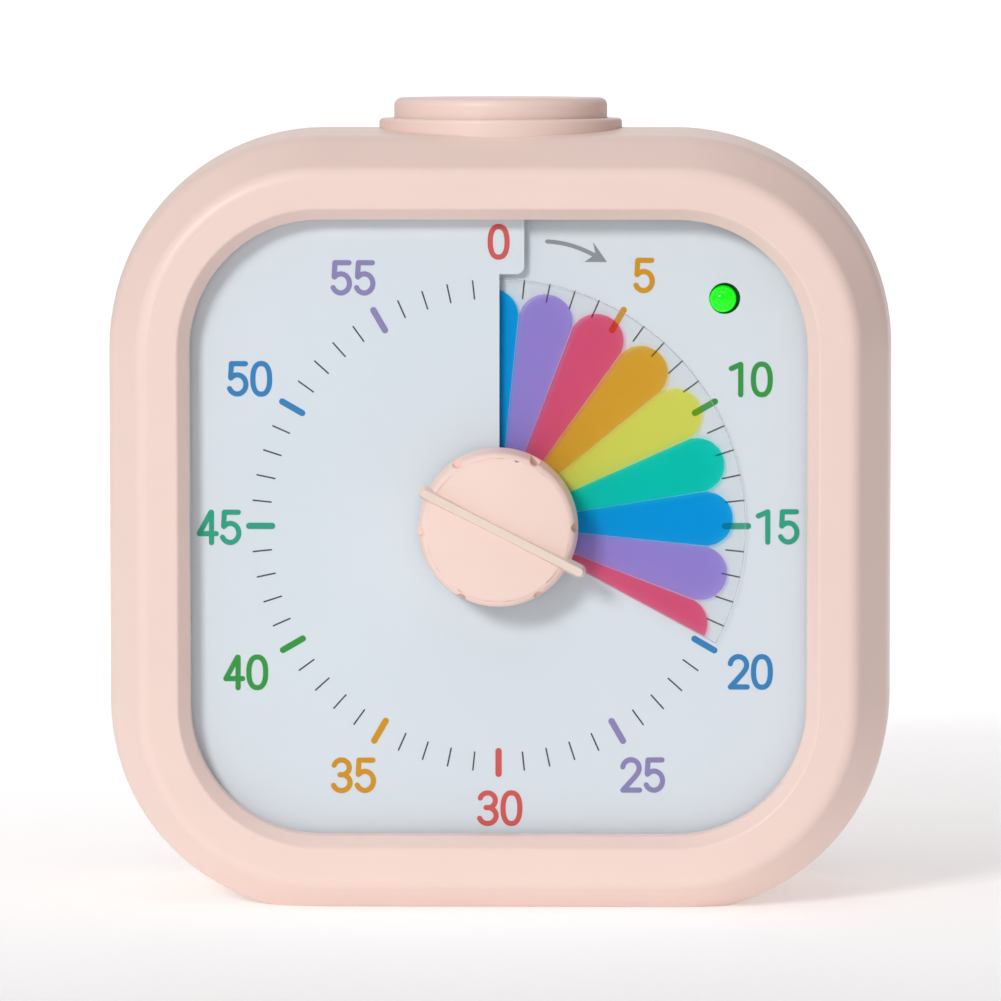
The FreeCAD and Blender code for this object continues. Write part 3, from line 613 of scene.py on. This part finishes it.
def film_line(r0, r1, d0, d1, lift, n):
    verts, faces = [], []
    for i in range(n + 1):
        t = d0 + (d1 - d0) * i / n
        verts += [on_film(r0, t, lift), on_film(r1, t, lift)]
    for i in range(n):
        faces.append((2 * i, 2 * i + 1, 2 * i + 3, 2 * i + 2))
    return verts, faces


# grey ribbons along the rim and the leading edge paint the shade of the film's cut edges and their shadow
rim = film_line(DISC_R - 0.11, DISC_R - 0.01, REST - 360 + 0.05, REST - 0.05, 0.01, 180)
lead = film_line(8.5, DISC_R - 0.12, REST - 0.25, REST - 0.03, 0.01, 1)
v, f = join([rim, lead])
mesh_obj("film_edge", v, f, M["film_edge"], "disc")

# ---------------------------------------------------------------- dark ring behind the lamp (painted shade) and coil springs
# the ring stands behind the dial; its bore follows the lamp and its rim the hole, which stand a little apart; its
# dark colour paints the shade in the gap around the lens
LAMP_C, HOLE_C = (25.32, 25.66), (25.5, 25.75)
gasket = [(1.53, 7.3, 0.0), (1.53, 5.86, 0.0), (1.60, 5.72, 0.12), (1.78, 5.66, 0.5), (1.92, 5.72, 0.9),
          (2.0, 5.86, 1.0), (2.0, 7.3, 1.0)]
verts, faces = [], []
for i in range(72):
    a = 2 * math.pi * i / 72
    for r, d, share in gasket:
        cx = LAMP_C[0] + (HOLE_C[0] - LAMP_C[0]) * share
        cz = LAMP_C[1] + (HOLE_C[1] - LAMP_C[1]) * share
        verts.append(mm(cx + r * math.cos(a), d, DZ + cz + r * math.sin(a)))
    for j in range(7):
        faces.append((i * 7 + j, i * 7 + (j + 1) % 7, (i + 1) % 72 * 7 + (j + 1) % 7, (i + 1) % 72 * 7 + j))
v, f = verts, faces
mesh_obj("lamp_gasket", v, f, M["gasket"], "root", True)


def coil(place, radius_at, turns, length, wire, n_turn=28, ring=8):
    """Round wire wound along an axis: place(along, radius, angle) gives the point in metres."""
    path = []
    total = int(turns * n_turn)
    for i in range(total + 1):
        t = i / total
        # closed end turns
        u = min(max((t * turns - 0.8) / (turns - 1.6), 0.0), 1.0)
        along = wire + (length - 2 * wire) * u + (t * turns if t * turns < 0.8 else 0.0) * 0.0
        path.append(place(along, radius_at(t), 2 * math.pi * turns * t))
    verts, faces = [], []
    for i, p in enumerate(path):
        q0, q1 = path[max(0, i - 1)], path[min(total, i + 1)]
        tan = (q1 - q0).normalized()
        side = tan.cross(Vector((0.13, 0.31, 0.94))).normalized()
        top = side.cross(tan)
        for j in range(ring):
            a = 2 * math.pi * j / ring
            verts.append(p + (side * math.cos(a) + top * math.sin(a)) * (wire / 1000.0))
    for i in range(total):
        for j in range(ring):
            a, b = i * ring + j, i * ring + (j + 1) % ring
            faces.append((a, b, b + ring, a + ring))
    faces.append(list(range(ring))[::-1])
    faces.append([total * ring + j for j in range(ring)])
    return verts, faces


BTN_D = 20.2
v, f = coil(lambda l, r, a: mm(r * math.cos(a), BTN_D + r * math.sin(a), 73.5 + l), lambda t: 5.08, 7.0, 16.7, 0.3)
o = mesh_obj("button_coil", v, f, M["spring"], "root", True)
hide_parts("button_spring")
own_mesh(o)

CELL_D, CELL_R = 29.65, 5.15
parts = []
for z, side in ((27.5, 1), (15.1, -1)):
    parts.append(coil(lambda l, r, a: mm(-side * (25.6 - l), CELL_D + r * math.cos(a), z + r * math.sin(a)),
                      lambda t: 3.3 - 1.4 * t, 5.0, 6.7, 0.25))
v, f = join(parts)
o = mesh_obj("battery_coils", v, f, M["spring"], "root", True)
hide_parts("contact_springs")

# ---------------------------------------------------------------- stage
def floor():
    """Pale floor that curves up into a backdrop; its emission paints a glow that rises towards the back."""
    verts, faces = [], []
    prof = [(-3.2, 0.0), (2.2, 0.0)]
    for i in range(1, 13):
        a = math.radians(90 * i / 12)
        prof.append((2.2 + 0.8 * math.sin(a), 0.8 - 0.8 * math.cos(a)))
    prof.append((3.0, 3.0))
    for y, z in prof:
        verts += [(-3.5, y, z), (3.5, y, z)]
    for i in range(len(prof) - 1):
        faces.append((2 * i, 2 * i + 1, 2 * i + 3, 2 * i + 2))
    me = bpy.data.meshes.new("floor")
    me.from_pydata(verts, [], faces)
    for p in me.polygons:
        p.use_smooth = True
    o = bpy.data.objects.new("floor", me)
    bpy.context.scene.collection.objects.link(o)
    m, nt, out = new_mat("floor_white")
    p = nt.nodes.new("ShaderNodeBsdfPrincipled")
    c = ramp(nt, noise(nt, coords(nt), 4.0), [(0.3, (0.90, 0.90, 0.90, 1)), (0.7, (0.92, 0.92, 0.92, 1))])
    link(nt, c, p.inputs["Base Color"])
    p.inputs["Roughness"].default_value = 0.8
    p.inputs["Specular IOR Level"].default_value = 0.1
    p.inputs["Emission Color"].default_value = (1, 1, 1, 1)
    sep = nt.nodes.new("ShaderNodeSeparateXYZ")
    link(nt, coords(nt), sep.inputs["Vector"])
    glow = ramp(nt, maprange(nt, sep.outputs["Y"], 0.0, 1.0, -0.40, 0.30),
                [(0.0, (0.0, 0.0, 0.0, 1)), (0.36, (0.10, 0.10, 0.10, 1)), (0.50, (0.24, 0.24, 0.24, 1)),
                 (0.64, (0.34, 0.34, 0.34, 1)), (0.79, (0.46, 0.46, 0.46, 1)), (1.0, (0.66, 0.66, 0.66, 1))])
    # the painted glow is a lane behind the object and fades to both sides
    wide = nt.nodes.new("ShaderNodeMath")
    wide.operation = "ABSOLUTE"
    link(nt, sep.outputs["X"], wide.inputs[0])
    fade = maprange(nt, wide.outputs[0], 1.0, 0.15, 0.30, 1.2)
    lane = nt.nodes.new("ShaderNodeMath")
    lane.operation = "MULTIPLY"
    link(nt, glow, lane.inputs[0])
    link(nt, fade, lane.inputs[1])
    link(nt, lane.outputs[0], p.inputs["Emission Strength"])
    link(nt, p.outputs["BSDF"], out.inputs["Surface"])
    me.materials.append(m)


floor()


def area(name, loc, target, size, power, color=(1, 1, 1)):
    l = bpy.data.lights.new(name, "AREA")
    l.shape = "RECTANGLE"
    l.size, l.size_y = size
    l.energy = power
    l.color = color
    o = bpy.data.objects.new(name, l)
    o.location = loc
    o.rotation_euler = (Vector(target) - Vector(loc)).to_track_quat("-Z", "Y").to_euler()
    bpy.context.scene.collection.objects.link(o)
    return o


C0 = Vector((0, 0, 0.044))
area("key", (-0.53, -1.03, 0.56), C0, (0.28, 0.28), 7.5)
area("overhead", (-0.10, -0.45, 1.25), C0, (1.1, 0.9), 2.6)

w = bpy.data.worlds.new("studio")
w.use_nodes = True
w.node_tree.nodes["Background"].inputs["Color"].default_value = (1.0, 0.955, 0.965, 1)
w.node_tree.nodes["Background"].inputs["Strength"].default_value = 0.335
bpy.context.scene.world = w
bpy.context.scene.view_settings.view_transform = "Standard"
bpy.context.scene.view_settings.look = "None"

# ---------------------------------------------------------------- camera
cam = bpy.data.cameras.new("camera")
cam.sensor_width = 36.0
cam.lens = F_PX * 36.0 / 1001.0
cam.clip_start = 0.05
cam.clip_end = 20.0
co = bpy.data.objects.new("camera", cam)
bpy.context.scene.collection.objects.link(co)
co.location = EYE
# the middle of the frame looks a little above the object's centre
aim = RING_C + RIGHT * ((500.5 - AIM_X) * DIST / F_PX) + UP * ((AIM_Y - 500.5) * DIST / F_PX)
co.rotation_euler = (aim - EYE).to_track_quat("-Z", "Y").to_euler()
bpy.context.scene.camera = co
